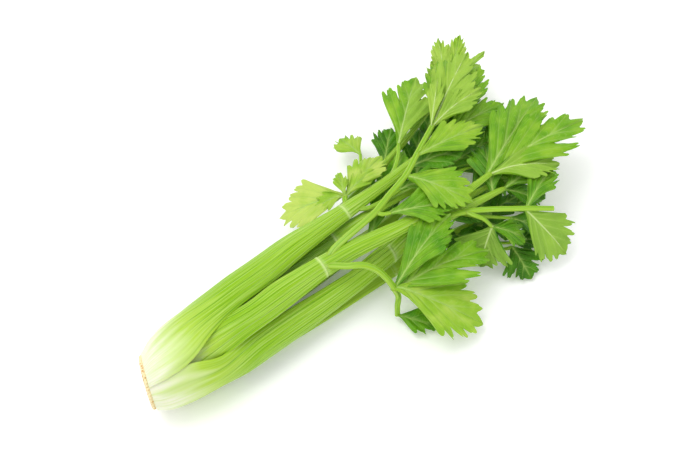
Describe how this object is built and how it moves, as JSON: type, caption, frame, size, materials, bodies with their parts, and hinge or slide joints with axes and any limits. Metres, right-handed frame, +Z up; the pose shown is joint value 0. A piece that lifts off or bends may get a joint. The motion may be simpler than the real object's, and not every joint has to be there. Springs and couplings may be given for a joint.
{
  "type": "head of celery",
  "caption": "Fresh head of celery lying on its side: thick ribbed stalks in layers round a cut root plate, opening into leafy fronds from pale joints.",
  "frame": {"origin": "middle of the whole head's box, on the surface that it lies on", "axes": "+X along the head from the cut root to the leaf tips, +Y to the far side as the picture shows it, +Z up from the surface that it lies on"},
  "size_m": [0.4577, 0.2635, 0.0705],
  "materials": {
    "cut_root": "dry, fibrous cut face, tan with an orange-brown rim",
    "stalk": "crisp, moist and ribbed, white at the base and lime green above",
    "pale_stalk": "crisp and moist, paler yellow-green than the outer stalks",
    "leaf": "thin, veined and slightly glossy, mid green with a paler underside",
    "pale_leaf": "thin, veined and slightly glossy, bright lime green",
    "dark_leaf": "thin and veined, dark green"
  },
  "bodies": {
    "root": {"crown": "cut_root", "stalk_under_far": "stalk", "stalk_under_near": "stalk", "stalk_side": "stalk", "stalk_heart": "pale_stalk", "stalk_inner_near": "pale_stalk", "stalk_inner_far": "pale_stalk", "stalk_near": "stalk", "stalk_far": "stalk", "stalk_middle": "stalk", "frond_under_far": "dark_leaf", "frond_under_near": "dark_leaf", "frond_side": "leaf", "frond_heart": "pale_leaf", "frond_inner_near": "dark_leaf", "frond_inner_far": "leaf", "frond_near": "leaf", "frond_far": "leaf", "frond_middle": "pale_leaf"}
  },
  "joints": []
}
